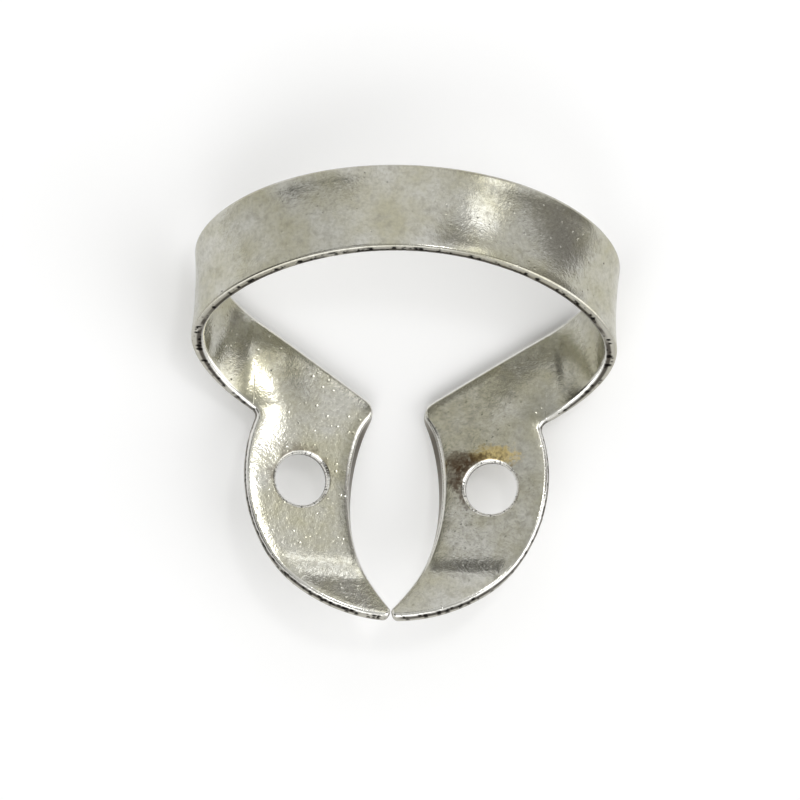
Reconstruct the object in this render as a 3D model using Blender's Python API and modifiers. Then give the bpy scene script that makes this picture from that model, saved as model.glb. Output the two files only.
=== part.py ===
"""Rubber dam clamp: a spring bow and two jaws, stamped from one stainless sheet and formed.

Units are metres, +Z is up, +X is to the right and the jaw tips point along -Y.
The clamp is drawn in a forming frame, in which the jaw plates contain the Y direction, and then
turned as a whole into the attitude in which it comes to rest on a table.

In the forming frame a half of the sheet is a row of ribs, each running across the sheet from
its front edge to its rear edge. From the crown down the side and round the bend the ribs cross
the strap. In the neck they fan round, and in the jaw they cross the crescent down to the tip.
"""

import math

import bmesh
import bpy
import numpy as np
from mathutils import Euler, Matrix, Vector

MM = 0.001

# Sheet
SHEET_THICKNESS = 0.84 * MM
CRISP_EDGE_RADIUS = 0.18 * MM
ROLLED_EDGE_RADIUS = 0.24 * MM

# Bow, seen from the front
BOW_HALF_WIDTH = 12.65 * MM
BOW_RISE = 7.1 * MM
BOW_LEAN = math.radians(31.4)
CROWN_TILT = math.radians(15.0)
STRAP_WIDTH = 5.6 * MM
STRAP_HOLLOW = 0.15 * MM
CROWN_TILT_FADE = 6
HOLLOW_FADE = math.radians(60.0)

# Bend and neck
BEND_TO_NOTCH = 0.15 * MM
BEND_SETTLE_SHARE = 0.5
PLATE_TILT = math.radians(12.0)
NECK_SLOPE = math.radians(32.0)

# Jaw plates, in a plate's own plane: out from the middle plane, and back from the rear corner
REAR_CORNER_OUT = 1.55 * MM
REAR_CORNER_RADIUS = 0.6 * MM
NOTCH_RADIUS = 0.5 * MM
OUTER_EDGE_RADIUS = 9.1 * MM
OUTER_CENTRE_OUT = 0.5 * MM
OUTER_CENTRE_BACK = -4.45 * MM
WAIST_OUT = 2.7 * MM
WAIST_BACK = -6.3 * MM
WAIST_RADIUS = 14.0 * MM
TIP_GAP = 0.12 * MM
TIP_RADIUS = 0.4 * MM
GROUND_FACE_WIDTH = 0.45 * MM
GROUND_START_BACK = 0.0 * MM
GROUND_FULL_BACK = -1.8 * MM
GROUND_END_BACK = -8.5 * MM
LIFT_START_BACK = -9.2 * MM
LIFT_RADIUS = 6.0 * MM
LIFT_ANGLE = math.radians(21.0)

# Forceps holes
HOLE_RADIUS = 1.7 * MM
HOLE_OUT = 6.07 * MM
HOLE_BACK = -4.97 * MM
HOLE_RIM = 0.12 * MM

# Number of ribs in each stretch, of faces across the sheet and of steps in the line's sums
LINE_STEPS = 8
SIDE_RIBS = 24
BEND_RIBS = 11
NECK_RIBS = 8
CORNER_RIBS = 5
JAW_RIBS = 22
TIP_RIBS = 5
SPANS = 6
EDGE_STEPS = 2
HOLE_SIDES = 48
SHARP_ANGLE = math.radians(35.0)


def smooth_step(share):
    """Rises from 0 to 1 with no corner at either end."""
    share = np.clip(share, 0.0, 1.0)
    return share * share * (3.0 - 2.0 * share)


def running_sum(slope, angle):
    """The integral of slope over angle, from the first angle on."""
    steps = (slope[1:] + slope[:-1]) / 2.0 * np.diff(angle)
    return np.concatenate(([0.0], np.cumsum(steps)))


def angle_from(centre, spot):
    """The direction of a spot as seen from a centre, as an angle."""
    return math.atan2(spot[1] - centre[1], spot[0] - centre[0])


def arc(centre, radius, start, end, count):
    """Points and outward directions round an arc, from one angle to another."""
    angles = np.linspace(start, end, count + 1)
    rays = np.stack((np.cos(angles), np.sin(angles)), axis=1)
    return centre + radius * rays, rays


def fillet_centre(line_spot, radius, centre, distance):
    """The centre of a fillet in front of a line up the neck, at a distance from another centre.

    Of the two such centres it is the one that lies further out.
    """
    start = np.array(line_spot) - radius * NECK_ACROSS - centre
    along = float(start @ NECK_OUT)
    reach = math.sqrt(along ** 2 - float(start @ start) + distance ** 2)
    return centre + start + (reach - along) * NECK_OUT


# Directions in a plate's own plane, and the places that its outline turns on
NECK_OUT = np.array((math.cos(NECK_SLOPE), math.sin(NECK_SLOPE)))
NECK_ACROSS = np.array((-NECK_OUT[1], NECK_OUT[0]))
OUTER_CENTRE = np.array((OUTER_CENTRE_OUT, OUTER_CENTRE_BACK))
NOTCH_CENTRE = fillet_centre((REAR_CORNER_OUT, -STRAP_WIDTH), NOTCH_RADIUS, OUTER_CENTRE,
                             OUTER_EDGE_RADIUS + NOTCH_RADIUS)
UPPER_CENTRE = np.array((WAIST_OUT - WAIST_RADIUS, WAIST_BACK))
CORNER_CENTRE = fillet_centre((REAR_CORNER_OUT, 0.0), REAR_CORNER_RADIUS, UPPER_CENTRE,
                              WAIST_RADIUS + REAR_CORNER_RADIUS)
BEND_OUT = NOTCH_CENTRE[0] + NOTCH_RADIUS * NECK_ACROSS[0] + BEND_TO_NOTCH
BEND_REAR = math.tan(NECK_SLOPE) * (BEND_OUT - REAR_CORNER_OUT)

# The lifted point of a jaw, and the tip's centre that leaves the gap between the formed tips
FRONT_BACK = OUTER_CENTRE_BACK - OUTER_EDGE_RADIUS
TIP_STRAIGHT = LIFT_START_BACK - FRONT_BACK - TIP_RADIUS - LIFT_RADIUS * LIFT_ANGLE
TIP_EDGE = SHEET_THICKNESS / 2 - CRISP_EDGE_RADIUS
TIP_HEIGHT = (LIFT_RADIUS - (LIFT_RADIUS - TIP_EDGE) * math.cos(LIFT_ANGLE)
              + TIP_STRAIGHT * math.sin(LIFT_ANGLE))
TIP_OUT = (TIP_GAP / 2 + TIP_HEIGHT * math.sin(PLATE_TILT)) / math.cos(PLATE_TILT) + TIP_RADIUS
TIP_CENTRE = np.array((TIP_OUT, OUTER_CENTRE_BACK - math.sqrt(
    (OUTER_EDGE_RADIUS - TIP_RADIUS) ** 2 - (TIP_OUT - OUTER_CENTRE_OUT) ** 2)))

# A plate's directions in the forming frame
PLATE_ALONG = np.array((math.cos(PLATE_TILT), 0.0, math.sin(PLATE_TILT)))
PLATE_UP = np.array((-math.sin(PLATE_TILT), 0.0, math.cos(PLATE_TILT)))
BACK = np.array((0.0, 1.0, 0.0))


def strap_line():
    """The strap's middle line from the crown to the end of the bend, with its heading angle.

    The heading is 0 at the crown, a right angle where the bow is widest, and turns on until the
    strap runs inward down the plate's slope. The radius falls from the crown to the side with the
    cube of the heading's cosine, so that the half width and the rise come out as named. Round
    the bend it settles on the radius that brings the strap to the plate.
    """
    last = math.pi - PLATE_TILT
    side = np.linspace(0.0, math.pi / 2, LINE_STEPS * SIDE_RIBS + 1)
    bend = np.linspace(math.pi / 2, last, LINE_STEPS * BEND_RIBS + 1)
    extra = (BOW_HALF_WIDTH - BOW_RISE) / (3 * math.pi / 16 - 1 / 4)
    side_radius = BOW_RISE - extra / 4
    settled = smooth_step((bend - math.pi / 2) / (last - math.pi / 2) / BEND_SETTLE_SHARE)
    inward = BOW_HALF_WIDTH - BEND_OUT * math.cos(PLATE_TILT)
    share_side, share_bend = (running_sum(-np.cos(bend) * share, bend)[-1]
                              for share in (1 - settled, settled))
    bend_radius = (inward - side_radius * share_side) / share_bend

    heading = np.concatenate((side, bend[1:]))
    radius = np.concatenate((side_radius + extra * np.cos(side) ** 3,
                             (side_radius + (bend_radius - side_radius) * settled)[1:]))
    lean, slope = math.tan(BOW_LEAN), math.tan(NECK_SLOPE)
    turned = np.clip((heading - math.pi / 2) / (last - math.pi / 2), 0.0, 1.0)
    forward = np.where(turned > 0.0, lean + (slope - lean) * turned, lean * np.sin(heading))
    way = np.stack((np.cos(heading), -forward, -np.sin(heading)), axis=1)
    line = np.stack([running_sum(radius * part, heading) for part in way.T], axis=1)
    line += BEND_OUT * PLATE_ALONG + (BEND_REAR - STRAP_WIDTH / 2) * BACK - line[-1]
    line[:, 0] -= line[0, 0]
    return heading[::LINE_STEPS], line[::LINE_STEPS], way[::LINE_STEPS]


def plate_point(spot, height):
    """A point of a jaw plate from its place in the flat plate and its height over mid-sheet.

    In front of the lift's start the plate bends up round an arc and runs on straight to the tip.
    """
    out, back = spot
    run = max(0.0, LIFT_START_BACK - back)
    turn = min(run / LIFT_RADIUS, LIFT_ANGLE)
    straight = run - LIFT_RADIUS * turn
    back += run - (LIFT_RADIUS - height) * math.sin(turn) - straight * math.cos(turn)
    height = LIFT_RADIUS - (LIFT_RADIUS - height) * math.cos(turn) + straight * math.sin(turn)
    return out * PLATE_ALONG + back * BACK + height * PLATE_UP


def jaw_outline():
    """The flat plate's two edges from the end of the bend to the tip, rib by rib.

    Each is a list of spots with their outward directions. The front edge runs along the neck,
    round the notch and along the outer edge. The rear edge runs along the neck, round the rear
    corner and along the two arcs of the waist.
    """
    gap = np.array((WAIST_OUT, WAIST_BACK)) - TIP_CENTRE
    lower_radius = (gap @ gap - TIP_RADIUS ** 2) / (2 * (gap[0] + TIP_RADIUS))
    lower_centre = np.array((WAIST_OUT - lower_radius, WAIST_BACK))

    share = np.linspace(0.0, 1.0, NECK_RIBS + 1)[:, None]
    ends = (((BEND_OUT, BEND_REAR - STRAP_WIDTH), NOTCH_CENTRE + NOTCH_RADIUS * NECK_ACROSS),
            ((BEND_OUT, BEND_REAR), CORNER_CENTRE + REAR_CORNER_RADIUS * NECK_ACROSS))
    front, rear = (np.array(start) * (1 - share) + end * share for start, end in ends)
    fronts, front_ways = [front], [np.tile(-NECK_ACROSS, (NECK_RIBS + 1, 1))]
    rears, rear_ways = [rear], [np.tile(NECK_ACROSS, (NECK_RIBS + 1, 1))]

    def add(spots, ways, side, centre, radius, start, end, count):
        points, rays = arc(centre, radius, start, end, count)
        spots.append(points[1:])
        ways.append(side * rays[1:])

    round_turn = 2 * math.pi
    across = angle_from((0.0, 0.0), NECK_ACROSS)
    add(fronts, front_ways, -1, NOTCH_CENTRE, NOTCH_RADIUS, across,
        angle_from(NOTCH_CENTRE, OUTER_CENTRE) % round_turn, CORNER_RIBS)
    add(rears, rear_ways, 1, CORNER_CENTRE, REAR_CORNER_RADIUS, across,
        angle_from(CORNER_CENTRE, UPPER_CENTRE) % round_turn, CORNER_RIBS)

    outer_end = angle_from(OUTER_CENTRE, TIP_CENTRE)
    add(fronts, front_ways, 1, OUTER_CENTRE, OUTER_EDGE_RADIUS,
        angle_from(OUTER_CENTRE, NOTCH_CENTRE), outer_end, JAW_RIBS)
    upper_turn = angle_from(UPPER_CENTRE, CORNER_CENTRE)
    lower_turn = angle_from(lower_centre, TIP_CENTRE)
    upper_length, lower_length = WAIST_RADIUS * upper_turn, -lower_radius * lower_turn
    upper_ribs = round(JAW_RIBS * upper_length / (upper_length + lower_length))
    add(rears, rear_ways, -1, UPPER_CENTRE, WAIST_RADIUS, upper_turn, 0.0, upper_ribs)
    add(rears, rear_ways, -1, lower_centre, lower_radius, 0.0, lower_turn, JAW_RIBS - upper_ribs)

    outer_end %= round_turn
    inner_end = angle_from(TIP_CENTRE, lower_centre) % round_turn
    middle = (outer_end + inner_end) / 2
    add(fronts, front_ways, 1, TIP_CENTRE, TIP_RADIUS, outer_end, middle, TIP_RIBS)
    add(rears, rear_ways, 1, TIP_CENTRE, TIP_RADIUS, inner_end, middle, TIP_RIBS)
    return [np.concatenate(part) for part in (fronts, front_ways, rears, rear_ways)]


def edge_profile():
    """Inset from the outline and height over mid-sheet, from the upper face to the lower one."""
    half = SHEET_THICKNESS / 2
    turns = np.linspace(0.0, math.pi / 2, EDGE_STEPS + 1)
    points = [(CRISP_EDGE_RADIUS * (1 - math.sin(turn)),
               half - CRISP_EDGE_RADIUS * (1 - math.cos(turn))) for turn in turns]
    points += [(ROLLED_EDGE_RADIUS * (1 - math.cos(turn)),
                -half + ROLLED_EDGE_RADIUS * (1 - math.sin(turn))) for turn in turns]
    return points


def ground_share(back):
    """How wide the ground face is at a place on the inner edge, as a share of its full width.

    The jaw's inner edge is ground at a slant, so that its lower side bites. The face starts at
    the rear corner, is widest above the waist and runs out before the tip.
    """
    rise = smooth_step((GROUND_START_BACK - back) / (GROUND_START_BACK - GROUND_FULL_BACK))
    fade = smooth_step((GROUND_FULL_BACK - back) / (GROUND_FULL_BACK - GROUND_END_BACK))
    return float(rise * (1 - fade))


def section(point, slant):
    """One rib's closed loop of points round the sheet.

    point gives a place from the insets of the front and the rear edge, the share of the way from
    the one to the other, and the height. slant is the width of the rear edge's ground face.
    """
    half = SHEET_THICKNESS / 2
    profile = edge_profile()
    rear_profile = [(inset + slant * (height + half) / SHEET_THICKNESS, height)
                    for inset, height in profile]
    front_edge = [point(inset, 0.0, 0.0, height) for inset, height in profile]
    rear_edge = [point(0.0, inset, 1.0, height) for inset, height in rear_profile]
    shares = [step / SPANS for step in range(1, SPANS)]
    upper = [point(profile[0][0], rear_profile[0][0], share, half) for share in shares]
    lower = [point(profile[-1][0], rear_profile[-1][0], share, -half) for share in shares]
    return upper + rear_edge + lower[::-1] + front_edge[::-1]


def strap_section(heading, middle, way):
    """The loop at a rib of the bow or the bend, hollow towards the outside of the bow."""
    tilt = CROWN_TILT * max(0.0, math.cos(heading)) ** CROWN_TILT_FADE
    across = np.array((0.0, math.cos(tilt), -math.sin(tilt)))
    inward = np.cross(across, way)
    inward /= np.linalg.norm(inward)
    edge_way = np.cross(way, inward)
    edge_way /= np.linalg.norm(edge_way)
    hollow = STRAP_HOLLOW * float(1 - smooth_step((heading - math.pi / 2) / HOLLOW_FADE))

    def point(front_inset, rear_inset, share, height):
        start = front_inset * edge_way - STRAP_WIDTH / 2 * across
        end = STRAP_WIDTH / 2 * across - rear_inset * edge_way
        spot = start + share * (end - start)
        bow = hollow * (1 - (2 * float(spot @ across) / STRAP_WIDTH) ** 2)
        return middle + spot + (height + bow) * inward

    return section(point, 0.0)


def plate_section(front, front_way, rear, rear_way):
    """The loop at a rib of the neck or the jaw."""

    def point(front_inset, rear_inset, share, height):
        start, end = front - front_inset * front_way, rear - rear_inset * rear_way
        return plate_point(start + share * (end - start), height)

    return section(point, GROUND_FACE_WIDTH * ground_share(rear[1]))


def half_sheet():
    """The right half of the formed sheet, open at the middle plane."""
    loops = [strap_section(*rib) for rib in zip(*strap_line())]
    loops += [plate_section(*edges) for edges in list(zip(*jaw_outline()))[1:]]
    shape = bmesh.new()
    rows = [[shape.verts.new(point) for point in loop] for loop in loops]
    for row, following in zip(rows, rows[1:]):
        for index in range(len(row)):
            after = (index + 1) % len(row)
            shape.faces.new((row[index], row[after], following[after], following[index]))
    bmesh.ops.remove_doubles(shape, verts=shape.verts, dist=0.0005 * MM)
    bmesh.ops.recalc_face_normals(shape, faces=shape.faces)
    mesh = bpy.data.meshes.new("clamp")
    shape.to_mesh(mesh)
    shape.free()
    return mesh


def steel():
    """Satin stainless spring steel."""
    material = bpy.data.materials.new("satin_stainless")
    material.use_nodes = True
    surface = material.node_tree.nodes["Principled BSDF"]
    surface.inputs["Base Color"].default_value = (0.45, 0.43, 0.38, 1.0)
    surface.inputs["Metallic"].default_value = 1.0
    surface.inputs["Roughness"].default_value = 0.34
    return material


def hole_cutter(name, side, cutters):
    """A turned cutter across a jaw plate, flared where it passes each face."""
    half = SHEET_THICKNESS / 2
    reach = 2 * SHEET_THICKNESS
    wall = half - HOLE_RIM
    widest = HOLE_RADIUS + reach - wall
    profile = bmesh.new()
    points = [(0.0, reach), (widest, reach), (HOLE_RADIUS, wall),
              (HOLE_RADIUS, -wall), (widest, -reach), (0.0, -reach)]
    verts = [profile.verts.new((x, 0.0, z)) for x, z in points]
    for first, second in zip(verts, verts[1:]):
        profile.edges.new((first, second))
    mesh = bpy.data.meshes.new(name)
    profile.to_mesh(mesh)
    profile.free()
    cutter = bpy.data.objects.new(name, mesh)
    cutters.objects.link(cutter)
    turn = cutter.modifiers.new("turn", "SCREW")
    turn.axis = "Z"
    turn.steps = turn.render_steps = HOLE_SIDES
    turn.use_merge_vertices = True
    turn.merge_threshold = 0.001 * MM
    spot = plate_point((HOLE_OUT, HOLE_BACK), 0.0)
    cutter.location = (side * spot[0], spot[1], spot[2])
    cutter.rotation_euler = Euler((0.0, -side * PLATE_TILT, 0.0))
    cutter.hide_render = True
    cutter.display_type = "WIRE"
    return cutter


def closed_shape(thing):
    """The corners and triangles of an object as the viewport evaluates it."""
    evaluated = thing.evaluated_get(bpy.context.evaluated_depsgraph_get())
    mesh = evaluated.to_mesh()
    mesh.calc_loop_triangles()
    corners = np.array([thing.matrix_world @ vertex.co for vertex in mesh.vertices])
    triangles = np.array([triangle.vertices[:] for triangle in mesh.loop_triangles])
    evaluated.to_mesh_clear()
    return corners, triangles


def balance_point(corners, triangles):
    """The centre of mass of a closed shape."""
    first, second, third = (corners[triangles[:, index]] for index in range(3))
    volumes = np.einsum("ij,ij->i", first, np.cross(second, third)) / 6.0
    return (volumes[:, None] * (first + second + third) / 4.0).sum(axis=0) / volumes.sum()


def rest_pitch(corners, centre):
    """The angle of the line that the clamp stands on, seen from the side.

    The lower hull of the side view is a chain of such lines. The clamp comes to rest on the one
    that its centre of mass is over.
    """
    chain = []
    for y, z in sorted((corner[1], corner[2]) for corner in corners):
        while len(chain) > 1:
            (y1, z1), (y2, z2) = chain[-2:]
            if (y2 - y1) * (z - z1) - (z2 - z1) * (y - y1) > 0:
                break
            chain.pop()
        chain.append((y, z))
    slopes = []
    for (y1, z1), (y2, z2) in zip(chain, chain[1:]):
        slope = math.atan2(z2 - z1, y2 - y1)
        way = (math.cos(slope), math.sin(slope))
        foot = centre[1] * way[0] + centre[2] * way[1]
        if y1 * way[0] + z1 * way[1] <= foot <= y2 * way[0] + z2 * way[1]:
            slopes.append(slope)
    return min(slopes, key=abs)


def settle(clamp, holes):
    """Turns the clamp and its cutters into the attitude of rest, over the origin."""
    bpy.context.view_layer.update()
    corners, triangles = closed_shape(clamp)
    pitch = rest_pitch(corners, balance_point(corners, triangles))
    level = Matrix.Rotation(-pitch, 4, "X")
    resting = np.array([level @ Vector(corner) for corner in corners])
    low, high = resting.min(axis=0), resting.max(axis=0)
    place = Matrix.Translation((0.0, -(low[1] + high[1]) / 2, -low[2])) @ level
    clamp.data.transform(place)
    for hole in holes:
        hole.matrix_world = place @ hole.matrix_world


def main():
    for thing in list(bpy.data.objects):
        bpy.data.objects.remove(thing, do_unlink=True)
    parts = bpy.data.collections.new("rubber_dam_clamp")
    cutters = bpy.data.collections.new("cutters")
    for group in (parts, cutters):
        bpy.context.scene.collection.children.link(group)

    clamp = bpy.data.objects.new("clamp", half_sheet())
    clamp.data.materials.append(steel())
    clamp.data.shade_smooth()
    clamp.data.set_sharp_from_angle(angle=SHARP_ANGLE)
    parts.objects.link(clamp)
    mirror = clamp.modifiers.new("other_half", "MIRROR")
    mirror.merge_threshold = 0.001 * MM
    holes = [hole_cutter(name, side, cutters)
             for name, side in (("hole_cutter_right", 1), ("hole_cutter_left", -1))]
    for hole in holes:
        cut = clamp.modifiers.new(hole.name, "BOOLEAN")
        cut.operation = "DIFFERENCE"
        cut.solver = "EXACT"
        cut.object = hole
    settle(clamp, holes)


main()
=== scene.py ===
# %% [markdown]
# # A rubber dam clamp in tumbled stainless steel
#
# A dentist springs this clamp round the neck of a molar, where it holds down a stretched sheet of
# rubber. It is one piece of stainless strip. A press stamps a flat blank out of the strip, punches
# two round holes for the forceps, and bends the blank into a bow with a jaw at either end. A day
# in a tumbling barrel then rounds its edges and leaves the satin finish.
#
# The script follows the same order: the blank's outline, the forming, the punch, the finish,
# and last the table, the lamps and the camera. It starts with the solid that the clamp has to fit.

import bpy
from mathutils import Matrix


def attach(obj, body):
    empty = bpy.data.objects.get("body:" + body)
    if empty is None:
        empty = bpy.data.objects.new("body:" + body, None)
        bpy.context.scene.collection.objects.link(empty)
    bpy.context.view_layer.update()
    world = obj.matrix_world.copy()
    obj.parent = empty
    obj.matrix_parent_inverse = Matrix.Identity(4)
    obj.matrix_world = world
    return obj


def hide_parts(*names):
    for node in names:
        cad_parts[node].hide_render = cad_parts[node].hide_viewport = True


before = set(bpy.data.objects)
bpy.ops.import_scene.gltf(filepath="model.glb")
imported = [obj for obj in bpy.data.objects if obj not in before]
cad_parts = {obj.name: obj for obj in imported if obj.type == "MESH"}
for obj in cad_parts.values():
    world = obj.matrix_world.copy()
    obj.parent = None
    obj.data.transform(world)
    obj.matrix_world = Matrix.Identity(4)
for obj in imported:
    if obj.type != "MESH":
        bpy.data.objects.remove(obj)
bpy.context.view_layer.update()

# %% Modules, and the unit of every size below
import math

import bmesh
import bpy
import numpy as np
from mathutils import Matrix, Vector
from mathutils.bvhtree import BVHTree

MM = 0.001
print("sizes are written in millimetres and times", MM, "metres")

# %% [markdown]
# ## Sizes of the sheet
#
# These are the sizes that the solid part was drawn with, but for the roundings of the edges and
# the corners, the ground face and the holes' rims, which are shown as the tumbling barrel and use
# have worn them. The picture needs more ribs along the sheet than the solid has, because a
# polished surface shows every facet, and because the pits in the sheared edge are only a tenth
# of a millimetre wide.

# %% Sheet, bow, bend and neck
SHEET_THICKNESS = 0.84 * MM
CRISP_EDGE_RADIUS = 0.24 * MM
ROLLED_EDGE_RADIUS = 0.22 * MM
BOW_HALF_WIDTH = 12.65 * MM
BOW_RISE = 7.1 * MM
BOW_LEAN = math.radians(31.4)
CROWN_TILT = math.radians(15.0)
CROWN_TILT_FADE = 6
STRAP_WIDTH = 5.6 * MM
STRAP_HOLLOW = 0.15 * MM
HOLLOW_FADE = math.radians(60.0)
BEND_TO_NOTCH = 0.15 * MM
BEND_SETTLE_SHARE = 0.5
PLATE_TILT = math.radians(12.0)
NECK_SLOPE = math.radians(32.0)

# %% Jaw plates and forceps holes
REAR_CORNER_OUT = 1.55 * MM
REAR_CORNER_RADIUS = 1.1 * MM
NOTCH_RADIUS = 0.5 * MM
OUTER_EDGE_RADIUS = 9.1 * MM
OUTER_CENTRE_OUT = 0.5 * MM
OUTER_CENTRE_BACK = -4.45 * MM
WAIST_OUT = 2.7 * MM
WAIST_BACK = -6.3 * MM
WAIST_RADIUS = 14.0 * MM
TIP_GAP = 0.12 * MM
TIP_RADIUS = 0.4 * MM
GROUND_FACE_WIDTH = 0.6 * MM
GROUND_START_BACK = 0.6 * MM
GROUND_FULL_BACK = -2.2 * MM
GROUND_END_BACK = -12.5 * MM
LIFT_START_BACK = -9.2 * MM
LIFT_RADIUS = 6.0 * MM
LIFT_ANGLE = math.radians(21.0)
HOLE_RADIUS = 1.6 * MM
HOLE_OUT = 6.07 * MM
HOLE_BACK = -4.97 * MM
HOLE_RIM = 0.36 * MM
REST_PITCH = math.radians(18.4037)

# %% Spring-back and the crowned neck, which are too slight for the solid to show
SPRING_BACK = 0.18 * MM
SPRING_FROM = 7.2 * MM
SPRING_TO = 10.2 * MM
SPRING_FRONT = -6.0 * MM
SPRING_REAR = -1.5 * MM
BEND_HEIGHT = 3.0 * MM
NECK_CROWN = 0.2 * MM
CROWN_FROM = 5.0 * MM
CROWN_FRONT = -3.0 * MM
CROWN_FULL = 0.5 * MM
print("the plates spring up by %.2f mm beside the bend" % (SPRING_BACK / MM))

# %% Ribs along the sheet and faces across it
SIDE_RIBS, BEND_RIBS, NECK_RIBS = 260, 110, 60
CORNER_RIBS, JAW_RIBS, TIP_RIBS = 24, 270, 12
LINE_STEPS = 2
SPANS = 9
CRISP_STEPS, WALL_STEPS, ROLLED_STEPS = 4, 6, 4
HOLE_SIDES = 160
ribs = SIDE_RIBS + BEND_RIBS + NECK_RIBS + CORNER_RIBS + JAW_RIBS + TIP_RIBS
print("ribs in each half of the sheet:", ribs)

# %% [markdown]
# ## The blank's outline
#
# Each jaw's outline is drawn flat, as the toolmaker would draw it, from straight lines and arcs
# that run smoothly into each other. An arc that rounds the corner between a line and a circle is
# found from two facts: its centre lies at its own radius from the line, and at a known distance
# from the circle's centre.

# %% Small helpers for curves
def smooth_step(share):
    """Rises from 0 to 1 with no corner at either end."""
    share = np.clip(share, 0.0, 1.0)
    return share * share * (3.0 - 2.0 * share)


def running_sum(slope, angle):
    """The integral of slope over angle, from the first angle on."""
    return np.concatenate(([0.0], np.cumsum((slope[1:] + slope[:-1]) / 2.0 * np.diff(angle))))


def angle_from(centre, spot):
    """The direction of a spot as seen from a centre."""
    return math.atan2(spot[1] - centre[1], spot[0] - centre[0])


def fillet_centre(line_spot, radius, centre, distance):
    """The centre of a fillet in front of a line up the neck, that far from a circle's centre."""
    start = np.array(line_spot) - radius * NECK_ACROSS - centre
    along = float(start @ NECK_OUT)
    reach = math.sqrt(along ** 2 - float(start @ start) + distance ** 2)
    return centre + start + (reach - along) * NECK_OUT


# %% Where the outline turns
NECK_OUT = np.array((math.cos(NECK_SLOPE), math.sin(NECK_SLOPE)))
NECK_ACROSS = np.array((-NECK_OUT[1], NECK_OUT[0]))
OUTER_CENTRE = np.array((OUTER_CENTRE_OUT, OUTER_CENTRE_BACK))
NOTCH_CENTRE = fillet_centre((REAR_CORNER_OUT, -STRAP_WIDTH), NOTCH_RADIUS, OUTER_CENTRE,
                             OUTER_EDGE_RADIUS + NOTCH_RADIUS)
UPPER_CENTRE = np.array((WAIST_OUT - WAIST_RADIUS, WAIST_BACK))
CORNER_CENTRE = fillet_centre((REAR_CORNER_OUT, 0.0), REAR_CORNER_RADIUS, UPPER_CENTRE,
                              WAIST_RADIUS + REAR_CORNER_RADIUS)
BEND_OUT = NOTCH_CENTRE[0] + NOTCH_RADIUS * NECK_ACROSS[0] + BEND_TO_NOTCH
BEND_REAR = math.tan(NECK_SLOPE) * (BEND_OUT - REAR_CORNER_OUT)
print("the bend starts %.2f mm out along the plate" % (BEND_OUT / MM))

# %% The jaw's lifted point
FRONT_BACK = OUTER_CENTRE_BACK - OUTER_EDGE_RADIUS
TIP_STRAIGHT = LIFT_START_BACK - FRONT_BACK - TIP_RADIUS - LIFT_RADIUS * LIFT_ANGLE
TIP_EDGE = SHEET_THICKNESS / 2 - CRISP_EDGE_RADIUS
TIP_HEIGHT = (LIFT_RADIUS - (LIFT_RADIUS - TIP_EDGE) * math.cos(LIFT_ANGLE)
              + TIP_STRAIGHT * math.sin(LIFT_ANGLE))
TIP_OUT = (TIP_GAP / 2 + TIP_HEIGHT * math.sin(PLATE_TILT)) / math.cos(PLATE_TILT) + TIP_RADIUS
TIP_CENTRE = np.array((TIP_OUT, OUTER_CENTRE_BACK - math.sqrt(
    (OUTER_EDGE_RADIUS - TIP_RADIUS) ** 2 - (TIP_OUT - OUTER_CENTRE_OUT) ** 2)))
print("the point runs straight for %.1f mm" % (TIP_STRAIGHT / MM))

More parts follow.
